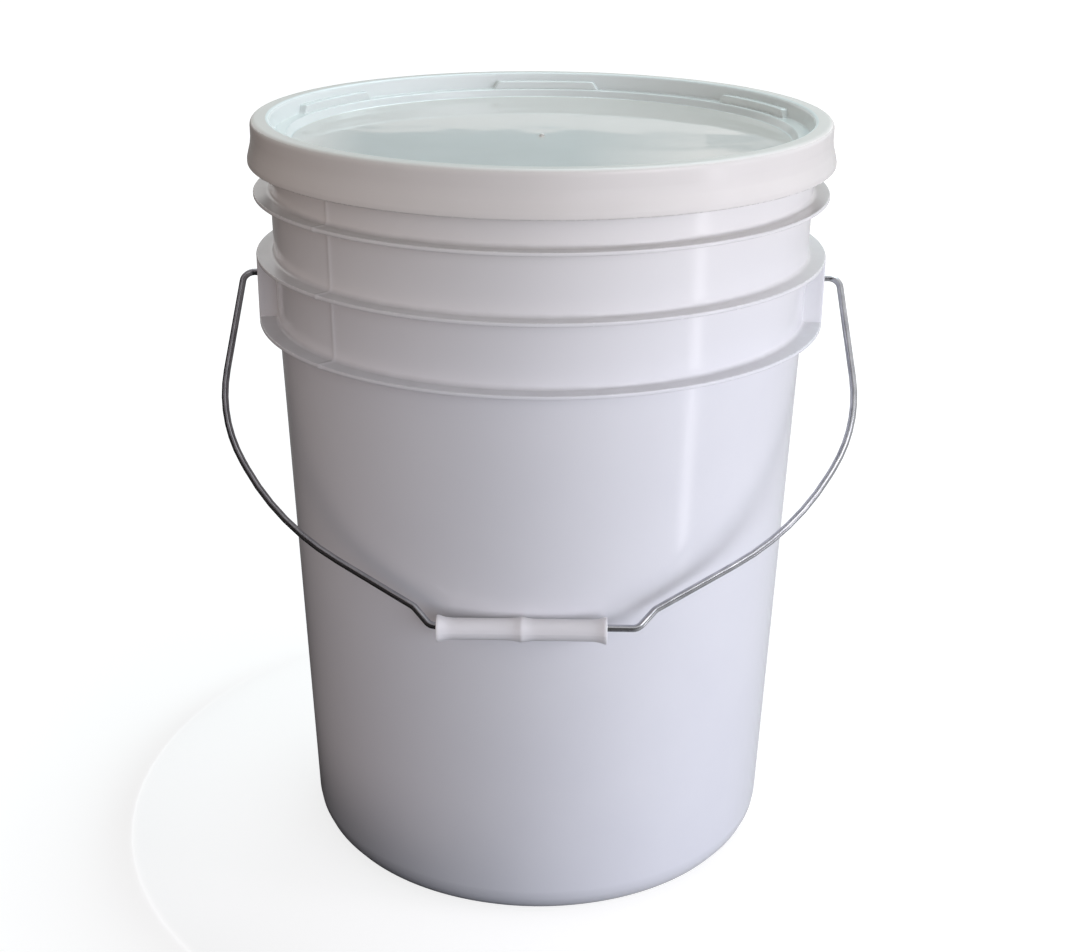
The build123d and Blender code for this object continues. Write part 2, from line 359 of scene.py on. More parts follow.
def spin(profile, angles, lift=None):
    """A profile of (r, z) points turned about Z: x = r cos a, y = r sin a.

    Its first and last points are poles on the axis. lift adds that much along the profile's normal
    at each row and angle.
    """
    radius, height = profile[1:-1, :1], profile[1:-1, 1:]
    if lift is not None:
        normal = profile_normals(profile)[1:-1]
        radius = radius + normal[:, :1] * lift[1:-1]
        height = height + normal[:, 1:] * lift[1:-1]
    grid = stacked(radius * np.cos(angles), radius * np.sin(angles), height)
    return capped_tube(grid, [(0, 0, profile[0, 1]), (0, 0, profile[-1, 1])])


def plug(node, inputs):
    """Give each of a node's inputs a value, or a link from a socket."""
    for key, value in inputs.items():
        if isinstance(value, bpy.types.NodeSocket):
            node.id_data.links.new(value, node.inputs[key])
        else:
            node.inputs[key].default_value = value


def add_node(tree, kind, inputs=None, out=0, **settings):
    """Add one shader node, whose settings become its attributes, and give back one of its outputs."""
    node = tree.nodes.new("ShaderNode" + kind)
    for key, value in settings.items():
        setattr(node, key, value)
    plug(node, inputs or {})
    return node.outputs[out]


def new_material(name):
    """A material, its one Principled shader and the function that adds nodes to it."""
    material = bpy.data.materials.new(name)
    material.use_nodes = True
    tree = material.node_tree
    return material, tree.nodes["Principled BSDF"], partial(add_node, tree)


def per_metre(millimetres):
    """Texture scale of a pattern of that real size."""
    return 1 / (millimetres * MM)


def rgba(value):
    """A linear colour with full alpha."""
    return (*value, 1.0)


def moulded_plastic(name, body, cloud, gloss, ripple_mm, ripple_depth_mm, drag, polish=0.0, glow=0.0,
                    painted_light=None):
    """Injection-moulded polyolefin: waxy and satin, with soft clouding and faint shrink ripples.

    The ripples break up its reflections, and its outer edges are rubbed pale and dull. A grey tint on
    its ledges and in its corners is partly dirt and partly painted shade. drag scales the handling marks
    along each axis, polish is how much smoother its level faces are, glow how much light goes a few
    millimetres into it, and painted_light the colour of painted light, used where its layer of that name
    is 1.
    """
    material, shader, add = new_material(name)
    place = add("TexCoord", out="Object")
    rubbed, dust_and_shade, level, painted_light_share = (add("Attribute", out="Fac", attribute_name=layer)
                                   for layer in ("rubbed", "dust_and_shade", "level", "painted_light"))
    clouds = add("TexNoise", {"Vector": place, "Scale": per_metre(60), "Detail": 4.0})
    drawn = add("Mapping", {"Vector": place, "Scale": drag})
    marks = add("TexNoise", {"Vector": drawn, "Scale": per_metre(2.5), "Detail": 3.0})
    scuff = add("Math", {0: rubbed, 1: marks}, operation="MULTIPLY")
    scuff = add("Math", {0: scuff, 1: 0.15}, operation="MULTIPLY")
    flecks = add("TexNoise", {"Vector": place, "Scale": per_metre(9), "Detail": 2.0})
    thick = add("MapRange", {"Value": flecks, "From Min": 0.3, "From Max": 0.7, "To Max": 0.12})
    dust_shade = add("Math", {0: dust_and_shade, 1: thick}, operation="MULTIPLY")
    tint, pale, grey = rgba(body), linear("#f1f1f1"), linear("#a8a4a2")
    # Mixed in turn over the body: clouding, painted light, pale rubbing, and a grey that is partly dirt
    # and partly painted shade
    for share, paint in ((clouds, cloud), (painted_light_share, painted_light), (scuff, pale), (dust_shade, grey)):
        if paint:
            tint = add("Mix", {"Factor": share, MIX_A: tint, MIX_B: rgba(paint)}, **COLOUR_MIX)
    rough = add("MapRange", {"Value": marks, "From Min": 0.35, "From Max": 0.75,
                             "To Min": gloss - 0.01, "To Max": gloss + 0.03})
    for share, duller in ((scuff, 1.0), (dust_shade, 0.6), (level, -polish)):
        rough = add("Math", {0: share, 1: duller, 2: rough}, operation="MULTIPLY_ADD")
    ripple = add("TexNoise", {"Vector": place, "Scale": per_metre(ripple_mm), "Detail": 1.0})
    broad = add("Bump", {"Height": ripple, "Distance": ripple_depth_mm * MM})
    plug(shader, {"Base Color": tint, "Roughness": rough, "Normal": broad, "IOR": 1.53,
                  "Subsurface Weight": glow, "Subsurface Radius": (1, 1, 1), "Subsurface Scale": 3 * MM})
    return material


def wear_and_shade_layers(mesh, profile, side, ledges, clean, top=1.0):
    """Three layers on a spun mesh, from its profile's facing and its bend in radians per metre.

    rubbed rises to 1 on tight outward bends. level is 1 on rows that face up, and -1.5 where they are
    above the height top, which stacking has dulled. dust_and_shade, a grey tint that is partly dirt and
    partly painted shade, rises to 1 on tight inward bends, where shade falls, and is 1 on level rows
    between the two heights of ledges, such as the rings' tops, less the share of each column that is
    clean, so that the seam shows lighter.
    side is 1 where the profile's right is outside, and -1 where its left is.
    """
    step = np.diff(profile, axis=0)
    heading = np.arctan2(step[:, 1], step[:, 0])
    run = np.linalg.norm(step, axis=1)
    bend = side * wrapped(np.diff(heading)) * 2 / (run[1:] + run[:-1])
    height, facing = profile[1:-1, 1], side * profile_normals(profile)[1:-1, 1]
    facing_up, tight_out, tight_in, dulled = (0.6, 0.9), (250, 750), (150, 550), -1.5
    level = np.interp(facing, facing_up, (0, 1))
    ledge = level * ((height > ledges[0]) & (height < ledges[1]))
    whole = np.ones_like(clean)
    layers = {"rubbed": np.outer(np.interp(bend, tight_out, (0, 1)), whole),
              "level": np.outer(np.where(height > top, dulled, 1) * level, whole),
              "dust_and_shade": np.outer(np.maximum(np.interp(-bend, tight_in, (0, 1)), ledge), 1 - clean)}
    for name, rows in layers.items():
        point_layer(mesh, name, np.append(rows, [0, 0]))


def drawn_zinc_wire(name, bright, dull):
    """Drawn steel wire, zinc plated: a grey mirror softened by fine lines along the draw."""
    material, shader, add = new_material(name)
    along = add("Attribute", out="Vector", attribute_name="draw")
    stretch = add("Mapping", {"Vector": along, "Scale": (0.03, 1.0, 1.0)})
    # Draw lines are really hundredths of a millimetre wide, and are drawn at half a millimetre to show
    lines = add("TexNoise", {"Vector": stretch, "Scale": per_metre(0.5), "Detail": 3.0})
    patches = add("TexNoise", {"Vector": along, "Scale": per_metre(9), "Detail": 3.0})
    worn = add("Math", {0: lines, 1: patches}, operation="MULTIPLY")
    fade = add("MapRange", {"Value": worn, "From Min": 0.12, "From Max": 0.42})
    tint = add("Mix", {"Factor": fade, MIX_A: rgba(bright), MIX_B: rgba(dull)}, **COLOUR_MIX)
    rough = add("MapRange", {"Value": worn, "From Min": 0.1, "From Max": 0.45,
                             "To Min": 0.12, "To Max": 0.3})
    bump = add("Bump", {"Height": lines, "Distance": 0.01 * MM})
    plug(shader, {"Base Color": tint, "Roughness": rough, "Normal": bump, "Metallic": 1.0})
    return material


def foamed_seal_rubber(name, body):
    """Foamed rubber: matt and dark, with pores that break up its surface."""
    material, shader, add = new_material(name)
    place = add("TexCoord", out="Object")
    pores = add("TexNoise", {"Vector": place, "Scale": per_metre(0.8), "Detail": 3.0})
    pit = tuple(0.7 * share for share in body)
    tint = add("Mix", {"Factor": pores, MIX_A: rgba(body), MIX_B: rgba(pit)}, **COLOUR_MIX)
    bump = add("Bump", {"Height": pores, "Distance": 0.1 * MM})
    plug(shader, {"Base Color": tint, "Normal": bump, "Roughness": 0.8, "IOR": 1.5})
    return material


def neck_height(size):
    """Height where the pail's neck ends and its mouth begins to widen."""
    return size.height - size.mouth_depth - (size.mouth_radius + size.wall - size.neck_radius)


def wall_radius(size, height):
    """Outer radius of the pail's wall: a cone up to the lowest ring, then a steeper neck."""
    return float(np.interp(height, [0, size.lowest_ring, neck_height(size)],
                           [size.base_radius, size.shoulder_radius, size.neck_radius]))


def pail_profile(size):
    """Corners (r, z, rounding) of the pail's section, up the outside and down the inside.

    Returns them, how many are outside, and the two radii of the slots in the lowest ring.
    """
    slot = (size.neck_radius + SLOT_GAP, size.ring_radius - size.ear_plate)

    def ring(under, cut=()):
        top = under + size.ring
        return [
            (wall_radius(size, under), under, SHARP),
            *((r, under, 0) for r in cut),
            (size.ring_radius, under, SOFT),
            (size.ring_radius, top, SOFT),
            *((r, top, 0) for r in reversed(cut)),
            (wall_radius(size, top), top, size.ring_fillet),
        ]

    rim = size.mouth_radius + size.wall
    mouth_floor, neck_top = size.height - size.mouth_depth, neck_height(size)
    bead_low = size.height - size.bead_height
    shoulder_soft = 20 * MM
    outside = [
        (0, size.foot_height, 0),
        (size.foot_inner - size.foot_height, size.foot_height, FOLD),
        (size.foot_inner, 0, FOLD),
        (size.base_radius, 0, size.base_corner),
        *ring(size.lowest_ring, slot),
        *ring(size.middle_ring),
        *ring(size.top_ring),
        (size.neck_radius, neck_top, FOLD),
        (rim, mouth_floor, FOLD),
        (rim, bead_low - (size.bead_radius - rim), SHARP),
        (size.bead_radius, bead_low, SOFT),
        (size.bead_radius, size.height, SOFT),
    ]
    inside = [
        (size.mouth_radius, size.height, SOFT),
        (size.mouth_radius, mouth_floor, FOLD),
        (size.neck_radius - size.wall, neck_top, FOLD),
        (size.shoulder_radius - size.wall, size.lowest_ring, shoulder_soft),
        (wall_radius(size, size.floor) - size.wall, size.floor, size.base_corner - size.wall),
        (size.foot_inner, size.floor, FOLD),
        (size.foot_inner - size.foot_height, size.foot_height + size.floor, FOLD),
        (0, size.foot_height + size.floor, 0),
    ]
    return outside + inside, len(outside), slot


def seam_angles(regular, seams, spread):
    """Regular angles with extra ones packed across each seam line."""
    extra = (np.asarray(seams)[:, None] + SEAM_COLUMNS * spread).ravel()
    return np.unique(np.round(np.concatenate([regular, extra % (2 * np.pi)]), 9))


def seam_lift(angles, seams, spread):
    """A ridge of height 1 along each seam: exp of minus the squared distance over its half width."""
    away = wrapped(angles[:, None] - np.asarray(seams))
    return np.exp(-(away / spread) ** 2).sum(1)


def pail_shell(size):
    """The pail's section turned about Z.

    It has a seam ridge across the rings and a slot through the lowest ring behind each ear.
    """
    corners, outside_count, slot = pail_profile(size)
    profile, owner = rounded_path(corners, closed=False, support=SUPPORT)
    spread = size.seam_width / size.ring_radius
    seams = (size.seam_turn, size.seam_turn - math.pi)
    angles = seam_angles(FULL_TURN, seams, spread)
    outside = (owner < outside_count) & (profile[:, 1] > size.lowest_ring + TINY)
    ridge = seam_lift(angles, seams, spread)
    points, quads, caps = spin(profile, angles, size.seam_height * np.outer(outside, ridge))
    # The slots: drop the ring's faces between the two radii, then wall the four sides of each hole
    r, z = profile[1:-1].T
    on_ring = (r > slot[0] - TINY) & (r < slot[1] + TINY)
    under = np.flatnonzero(on_ring & (np.abs(z - size.lowest_ring) < TINY))
    over = np.flatnonzero(on_ring & (np.abs(z - size.lowest_ring - size.ring) < TINY))[::-1]
    columns = len(angles)
    kept = np.ones(quads.shape[:2], bool)
    walls = []
    for middle in (0.0, math.pi):
        away = wrapped(angles - middle)
        inside = np.flatnonzero(np.abs(away) < SLOT_TURN + TINY)
        line = inside[np.argsort(away[inside])]
        for rows in (under, over[::-1]):
            kept[np.ix_(rows[:-1], line[:-1])] = False
        lower, upper = (np.concatenate([
            rows[0] * columns + line, rows[1:-1] * columns + line[-1],
            rows[-1] * columns + line[::-1], rows[-2:0:-1] * columns + line[0],
        ]) for rows in (under, over))
        walls.append(np.stack([lower, upper, np.roll(upper, -1), np.roll(lower, -1)], 1))
    return points, [quads[kept], *caps, *walls], profile, ridge


def ear_plate(size, side):
    """An ear's outer plate: a section carried round its hole, out to the plate's rim and back inside.

    Between hole and rim each ring of points is a mix of a circle and a rectangle, laid on a cylinder
    about Z.
    """
    turn = np.linspace(0, 2 * np.pi, 96, endpoint=False)
    circle = stacked(np.cos(turn), np.sin(turn))
    square = circle / np.maximum(np.abs(circle[:, :1]), np.abs(circle[:, 1:]))
    # The plate ends a little inside the two rings and stands a little proud, so that no faces coincide
    inset, proud = 0.1 * MM, 0.08 * MM
    low, high = size.lowest_ring + inset, size.middle_ring + size.ring - inset
    face, back = size.ring_radius + proud, size.ring_radius - size.ear_plate
    half = np.array([size.ear_width / 2, (high - low) / 2])
    offset = np.array([0, (low + high) / 2 - PIVOT.z])
    soft, chamfer = 0.9 * MM, 0.35 * MM
    hole, lead = size.ear_hole, size.ear_hole + chamfer
    rim = square * (half - soft) + offset
    rings = [(circle * hole, back), (circle * hole, face - chamfer), (circle * lead, face)]
    rings += [(circle * lead * (1 - t) + rim * t, face) for t in (0.03, 0.2, 0.45, 0.7, 0.9, 1.0)]
    rings += [(square * (half - soft + soft * math.sin(a)) + offset, face - soft * (1 - math.cos(a)))
              for a in np.radians([22.5, 45, 67.5, 90])]
    rings += [(square * half + offset, back)]
    across, up = np.moveaxis(np.stack([ring for ring, _ in rings]), -1, 0)
    radius = np.array([r for _, r in rings])[:, None]
    return looped_tube(stacked(side * np.sqrt(radius ** 2 - across ** 2), across, up + PIVOT.z))


def slab(low, high):
    """A closed box between two corners, as its eight vertices and six faces."""
    corner = np.array([[x, y, z] for x in (0, 1) for y in (0, 1) for z in (0, 1)], float)
    faces = np.array([[0, 1, 3, 2], [4, 6, 7, 5], [0, 4, 5, 1], [2, 3, 7, 6], [0, 2, 6, 4],
                      [1, 5, 7, 3]])
    return low + corner * (high - low), [faces]


def ear_webs(size, side):
    """The two webs at the sides of an ear, from inside the wall to inside the plate."""
    half, inset = size.ear_width / 2, 0.05 * MM
    root = wall_radius(size, PIVOT.z) - size.wall / 2
    start = side * math.sqrt(root ** 2 - half ** 2)
    reach = side * math.sqrt((size.ring_radius - size.ear_plate / 2) ** 2 - half ** 2)
    foot, head = size.lowest_ring + size.ring / 2, size.middle_ring + size.ring / 2
    for edge in (1, -1):
        ends = np.array([(start, edge * (half - size.ear_web), foot),
                         (reach, edge * (half - inset), head)])
        yield slab(ends.min(0), ends.max(0))


class PAIL_OT_make_body(bpy.types.Operator):
    """Build the pail's wall, rings, rim and ears"""

    bl_idname = "pail.make_body"
    bl_label = "Pail"

    def execute(self, context):
        size, finish = context.scene.pail_sizes, context.scene.pail_finishes
        white = moulded_plastic("moulded_white_polyethylene", finish.pail, finish.pail_cloud,
                                gloss=0.15, ripple_mm=55, ripple_depth_mm=0.2, drag=(1, 1, 0.04),
                                painted_light=finish.pail_warm_light)
        points, faces, profile, ridge = pail_shell(size)
        mesh = make_mesh("pail_shell", [(points, faces)])
        wear_and_shade_layers(mesh, profile, side=1, clean=ridge,
                    ledges=(size.lowest_ring, size.height - size.mouth_depth))
        # Painted light: warm light from above, painted between these shares of the height near the rim,
        # and half in at the ears
        warm_light_heights, warm_light_at_ears = (0.6, 0.95), 0.5
        point_layer(mesh, "painted_light", np.interp(points[:, 2] / size.height, warm_light_heights, (0, 1)))
        place_piece("pail_shell", mesh, "pail", white, ["pail_body"])
        ears = [shell for side in (1, -1) for shell in (ear_plate(size, side), *ear_webs(size, side))]
        mesh = make_mesh("pail_ears", ears, crisp=True)
        point_layer(mesh, "painted_light", np.full(len(mesh.vertices), warm_light_at_ears))
        place_piece("pail_ears", mesh, "pail", white)
        return {"FINISHED"}


def lid_profile(size, pail):
    """Corners (r, z, rounding) of the lid's section, out over the top and back underneath."""
    under = size.crown - size.crown_thickness
    ledge, panel = size.crown - size.ledge_depth, size.crown - size.panel_depth
    step = size.ledge_radius - size.ledge_width
    floor_radius = step - 2.0 * MM
    skirt_in = size.skirt_radius - size.wall
    # The ring inside the skirt that snaps under the rim's bead: half its height, and its clearance
    snap_half, snap_gap = 1.2 * MM, 0.35 * MM
    bead_reach = pail.bead_radius - pail.mouth_radius - pail.wall
    snap = pail.height - pail.bead_height - bead_reach - snap_half
    return [
        (0, panel + size.nub_height, 0),
        (size.nub_radius, panel + size.nub_height, FOLD),
        (size.nub_radius, panel, 0.3 * MM),
        (floor_radius, panel, FOLD),
        (step, ledge, 0.9 * MM),
        (size.ledge_radius, ledge, 0.8 * MM),
        (size.crown_inner, size.crown, 2.2 * MM),
        (size.skirt_radius, size.crown, 3.0 * MM),
        (size.skirt_radius, size.lip + 11.0 * MM, 15.0 * MM),
        (size.lip_radius, size.lip + 2.5 * MM, 3.0 * MM),
        (size.lip_radius, size.lip, 0.8 * MM),
        (size.lip_radius - size.wall, size.lip, 0.4 * MM),
        (skirt_in, size.lip + 6.0 * MM, 3.0 * MM),
        (skirt_in, snap - snap_half, SHARP),
        (pail.bead_radius + snap_gap, snap, 0.4 * MM),
        (skirt_in, snap + snap_half, SHARP),
        (skirt_in, under, 0.6 * MM),
        (size.crown_inner + size.wall, under, 0.6 * MM),
        (size.ledge_radius + size.wall, ledge - size.wall, 1.2 * MM),
        (step + size.wall, ledge - size.wall, SHARP),
        (floor_radius + size.wall, panel - size.wall, FOLD),
        (0, panel - size.wall, 0),
    ]


def stacking_block(size, middle):
    """One block: a rounded box section carried along the ledge.

    Its height falls to nothing over each sloping end, as 3 s s - 2 s s s of the share s of the ramp.
    """
    half, ramp = size.block_length / 2, size.block_ramp
    along = np.concatenate([np.linspace(-half, ramp - half, 7),
                            np.linspace(ramp - half, half - ramp, 32)[1:-1],
                            np.linspace(half - ramp, half, 7)])
    share = np.clip((half - np.abs(along)) / ramp, 0, 1)
    height = size.block_height * share * share * (3 - 2 * share)
    # The section is drawn 1 m high, which keeps its foot and its top apart, and sunk in wall and ledge
    soft, into_wall, into_ledge, least = 0.9 * MM, 1.2 * MM, 0.6 * MM, 0.1 * MM
    inner, outer = size.ledge_radius - size.block_depth, size.ledge_radius + into_wall
    section, _ = rounded_path([(inner, 0, SHARP), (inner, 1.0, soft), (outer, 1.0, soft),
                               (outer, 0, SHARP)], closed=True)
    r, up = section.T
    top = up > 0.5
    ledge = size.crown - size.ledge_depth
    sunk = ledge - into_ledge
    level = np.where(top, ledge + height[:, None] + (up - 1.0), sunk + up)
    turn = (middle + along / size.ledge_radius)[:, None]
    grid = stacked(r * np.cos(turn), r * np.sin(turn), np.maximum(level, sunk + least * top))
    points, quads, fans = capped_tube(grid, grid[[0, -1]].mean(1))
    return points, [quads.reshape(-1, 4), *fans]


class PAIL_OT_make_lid(bpy.types.Operator):
    """Build the lid with its crown, skirt, panel and stacking blocks"""

    bl_idname = "pail.make_lid"
    bl_label = "Lid"

    def execute(self, context):
        scene = context.scene
        size, finish = scene.lid_sizes, scene.pail_finishes
        pale = moulded_plastic("moulded_lid_polyethylene", finish.lid, finish.lid_cloud, gloss=0.18,
                               ripple_mm=30, ripple_depth_mm=0.08, drag=(1, 1, 1), polish=0.15,
                               painted_light=finish.lid_recess_light)
        corners = lid_profile(size, scene.pail_sizes)
        profile, _ = rounded_path(corners, closed=False, support=SUPPORT)
        points, quads, caps = spin(profile, FULL_TURN)
        mesh = make_mesh("lid_shell", [(points, [quads.reshape(-1, 4), *caps])])
        wear_and_shade_layers(mesh, profile, side=-1, ledges=(0, 0), clean=np.zeros(len(FULL_TURN)),
                    top=size.crown - 3 * MM)
        # The recess: rows outside the panel's edge and before the crown's top, which get painted light,
        # paler and greener, standing in for light through the thin plastic
        panel_edge = size.ledge_radius - size.ledge_width - 2.4 * MM
        before_top = np.arange(len(profile)) < profile[:, 1].argmax()
        recess = before_top & (profile[:, 0] > panel_edge)
        point_layer(mesh, "painted_light", np.append(np.repeat(recess[1:-1], len(FULL_TURN)), [0, 0]))
        place_piece("lid_shell", mesh, "lid", pale, ["lid"])
        turns = np.pi / 2 + 2 * np.pi * np.arange(size.block_count) / size.block_count
        blocks = make_mesh("lid_blocks", [stacking_block(size, turn) for turn in turns])
        # The blocks stand in the recess and get its painted light too
        point_layer(blocks, "painted_light", np.ones(len(blocks.vertices)))
        place_piece("lid_blocks", blocks, "lid", pale)
        return {"FINISHED"}


class PAIL_OT_make_seal(bpy.types.Operator):
    """Build the sealing ring between the lid and the rim"""

    bl_idname = "pail.make_seal"
    bl_label = "Seal"

    def execute(self, context):
        size = context.scene.lid_sizes
        rubber = foamed_seal_rubber("foamed_seal_rubber", context.scene.pail_finishes.seal)
        low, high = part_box("lid_gasket")
        inner, soft = size.crown_inner + size.wall + 0.3 * MM, 0.6 * MM
        section, _ = rounded_path([(inner, low.z, soft), (high.x, low.z, soft), (high.x, high.z, soft),
                                   (inner, high.z, soft)], closed=True)
        radius, height = section[:, :1], section[:, 1:]
        grid = stacked(radius * np.cos(FULL_TURN), radius * np.sin(FULL_TURN), height)
        mesh = make_mesh("lid_seal", [looped_tube(grid)])
        place_piece("lid_seal", mesh, "lid", rubber, ["lid_gasket"])
        return {"FINISHED"}


def wire_route(size, reach):
    """Corners (x, distance from the pivots, bend) of the whole wire in its own plane."""
    half = [
        (size.hook_x, -size.hook_length, 0),
        (size.hook_x, 0, size.hook_bend),
        (size.leg_x, 0, size.elbow),
        (size.shoulder_x, size.shoulder_drop, size.shoulder_bend),
        (size.slant_x, size.slant_drop, size.slant_bend),
        (size.jog_x + size.jog_run, reach - size.jog_rise, size.jog_bend),
        (size.jog_x, reach, size.jog_bend),
    ]
    return half + [(-x, y, bend) for x, y, bend in reversed(half)]


class PAIL_OT_make_bail(bpy.types.Operator):
    """Build the bent wire that hangs in the ears"""

    bl_idname = "pail.make_bail"
    bl_label = "Bail"

    def execute(self, context):
        scene = context.scene
        size, finish = scene.bail_sizes, scene.pail_finishes
        zinc = drawn_zinc_wire("drawn_zinc_plated_steel", finish.zinc, finish.zinc_dull)
        down = Vector((0, GRIP_AXIS.y, GRIP_AXIS.z + scene.grip_sizes.drop - PIVOT.z))
        route, _ = rounded_path(wire_route(size, down.length), closed=False,
                                arc_step=math.radians(5), support=1 * MM)
        axes = np.stack([(1.0, 0.0, 0.0), np.array(down.normalized())])
        slope = unit(np.gradient(route, axis=0))
        run = np.append(0, np.cumsum(np.linalg.norm(np.diff(route, axis=0), axis=1)))
        # The cut ends are rounded: rows step in by the edge's arc while the radius grows to the wire's
        edge, arc, inner = 0.5 * MM, np.radians([0, 30, 60, 90]), len(route) - 2
        step, shrink, none = edge * (1 - np.cos(arc)), edge * (1 - np.sin(arc)), np.zeros(inner)
        row = np.repeat(np.arange(len(route)), [len(arc), *[1] * inner, len(arc)])
        inset = np.concatenate([step, none, -step[::-1]])
        radius = size.wire_radius - np.concatenate([shrink, none, shrink[::-1]])[:, None]
        slope, run = slope[row], run[row] + inset
        centre = np.array(PIVOT) + route[row] @ axes + inset[:, None] * (slope @ axes)
        # A circle round the route at each row: its two axes are the route's side and the plane's normal
        side = stacked(-slope[:, 1], slope[:, 0]) @ axes
        across = np.cross(axes[0], axes[1])
        turn = np.linspace(0, 2 * np.pi, 32, endpoint=False)
        ring = side[:, None] * np.cos(turn)[:, None] + across * np.sin(turn)[:, None]
        grid = centre[:, None] + radius[..., None] * ring
        points, quads, fans = capped_tube(grid, centre[[0, -1]])
        mesh = make_mesh("bail_wire_drawn", [(points, [quads.reshape(-1, 4), *fans])])
        # Where each point lies along the wire and round it, for the draw lines
        draw = stacked(run[:, None], radius * np.cos(turn), radius * np.sin(turn))
        ends = np.array([[run[0], 0, 0], [run[-1], 0, 0]])
        layer = mesh.attributes.new("draw", "FLOAT_VECTOR", "POINT")
        layer.data.foreach_set("vector", np.concatenate([draw.reshape(-1, 3), ends])
                               .astype(np.float32).ravel())
        place_piece("bail_wire_drawn", mesh, "bail", zinc, ["bail_wire"])
        return {"FINISHED"}


class PAIL_OT_make_grip(bpy.types.Operator):
    """Build the roller grip on the wire's straight middle"""

    bl_idname = "pail.make_grip"
    bl_label = "Grip"

    def execute(self, context):
        size, finish = context.scene.grip_sizes, context.scene.pail_finishes
        plastic = moulded_plastic("moulded_grip_polypropylene", finish.grip, finish.grip_cloud,
                                  gloss=0.42, ripple_mm=18, ripple_depth_mm=0.05, drag=(0.1, 1, 1),
                                  glow=0.7)
        collar = size.half_length - size.collar

        def flare(rise):
            # A circle through both ends of the flare that is level at the waist
            bend = (size.flare ** 2 + rise ** 2) / (2 * rise)
            x = np.linspace(0, size.flare, 14)
            return x, size.waist + bend - np.sqrt(bend ** 2 - x ** 2)

        ends, _ = rounded_path([(0, size.bore, 0), (size.half_length, size.bore, 0.5 * MM),
                                (size.half_length, size.end, 0.35 * MM), (collar, size.end, 0)],
                               closed=False, arc_step=math.radians(20), support=0.3 * MM)
        x_end, r_end = flare(size.end - size.waist)
        x_mid, r_mid = flare(size.ridge - size.waist)
        half = np.concatenate([
            ends,
            stacked(collar - size.flare + x_end, r_end)[-2::-1],
            stacked(size.flare - x_mid, r_mid),
        ])
        blunt, seam_height, seam_width, below_waist = 0.12 * MM, 0.07 * MM, 0.35 * MM, 0.1 * MM
        half[-1, 1] -= blunt
        outline = np.concatenate([half, half[-2:0:-1] * (-1, 1)])
        seams = (0.0, math.pi)
        spread = seam_width / size.waist
        angles = seam_angles(np.radians(np.arange(0, 360, 4)), seams, spread)
        outer = outline[:, 1] > size.waist - below_waist
        radius = outline[:, 1:] + np.outer(outer, seam_height * seam_lift(angles, seams, spread))
        centre_x = (GRIP_LOW.x + GRIP_HIGH.x) / 2
        grid = stacked(centre_x + outline[:, :1], GRIP_AXIS.y + radius * np.cos(angles),
                       GRIP_AXIS.z + radius * np.sin(angles))
        mesh = make_mesh("roller_grip", [looped_tube(grid)])
        place_piece("roller_grip", mesh, "grip", plastic, ["handle_grip"])
        return {"FINISHED"}


def seen_directly(add):
    """A socket that is 1 for what the camera, a reflection or a clear piece shows.

    It is 0 for the light that reaches other surfaces.
    """
    path = add("LightPath").node.outputs
    shown = path["Is Camera Ray"]
    for ray in ("Is Glossy Ray", "Is Transmission Ray"):
        shown = add("Math", {0: shown, 1: path[ray]}, operation="MAXIMUM")
    return shown


def stage_sheet(name, points, faces, material):
    """A sheet that belongs to the stage and not to the pail."""
    mesh = bpy.data.meshes.new(name)
    mesh.from_pydata(points, [], faces)
    mesh.materials.append(material)
    sheet = bpy.data.objects.new(name, mesh)
    bpy.context.scene.collection.objects.link(sheet)
    return sheet


def studio_floor(finish):
    """Matt paper: white to the eye and in reflections, and still dimmed a little by the shadow."""
    paper, shader, add = new_material("studio_floor_paper")
    shown, seen_grey = seen_directly(add), linear("#a0a0a0")
    tint = add("Mix", {"Factor": shown, MIX_A: rgba(finish.floor), MIX_B: rgba(seen_grey)}, **COLOUR_MIX)
    place = add("TexCoord", out="Object")
    away = add("VectorMath", {0: place}, "Value", operation="LENGTH")
    fade = add("MapRange", {"Value": away, "From Min": 0.3, "From Max": 1.5, "To Min": 0.8})
    # A painted glow: at the right the floor gives out light of its own, standing in for the window's
    # light bounced off it
    across = add("SeparateXYZ", {"Vector": place}, "X")
    painted_bounce_glow = add("MapRange", {"Value": across, "From Min": -0.1, "From Max": 0.3, "To Max": 0.13})
    glow = add("Mix", {"Factor": shown, "A": painted_bounce_glow, "B": fade})
    plug(shader, {"Base Color": tint, "Emission Strength": glow, "Emission Color": (1, 1, 1, 1),
                  "Roughness": 0.9, "Specular IOR Level": 0.1})
    half = 6.0
    corners = [(-half, -half, 0), (half, -half, 0), (half, half, 0), (-half, half, 0)]
    stage_sheet("studio_floor", corners, [(0, 1, 2, 3)], paper)


def studio_backdrop(scene):
    """White where it is seen, and a neutral grey room where it lights the pail."""
    scene.world = bpy.data.worlds.new("studio_backdrop")
    scene.world.use_nodes = True
    tree = scene.world.node_tree
    add = partial(add_node, tree)
    room = add("Background", {"Color": rgba(scene.pail_finishes.room), "Strength": 1.0})
    white = add("Background", {"Color": (1, 1, 1, 1), "Strength": 1.0})
    mixed = add("MixShader", {0: seen_directly(add), 1: room, 2: white})
    plug(tree.nodes["World Output"], {"Surface": mixed})


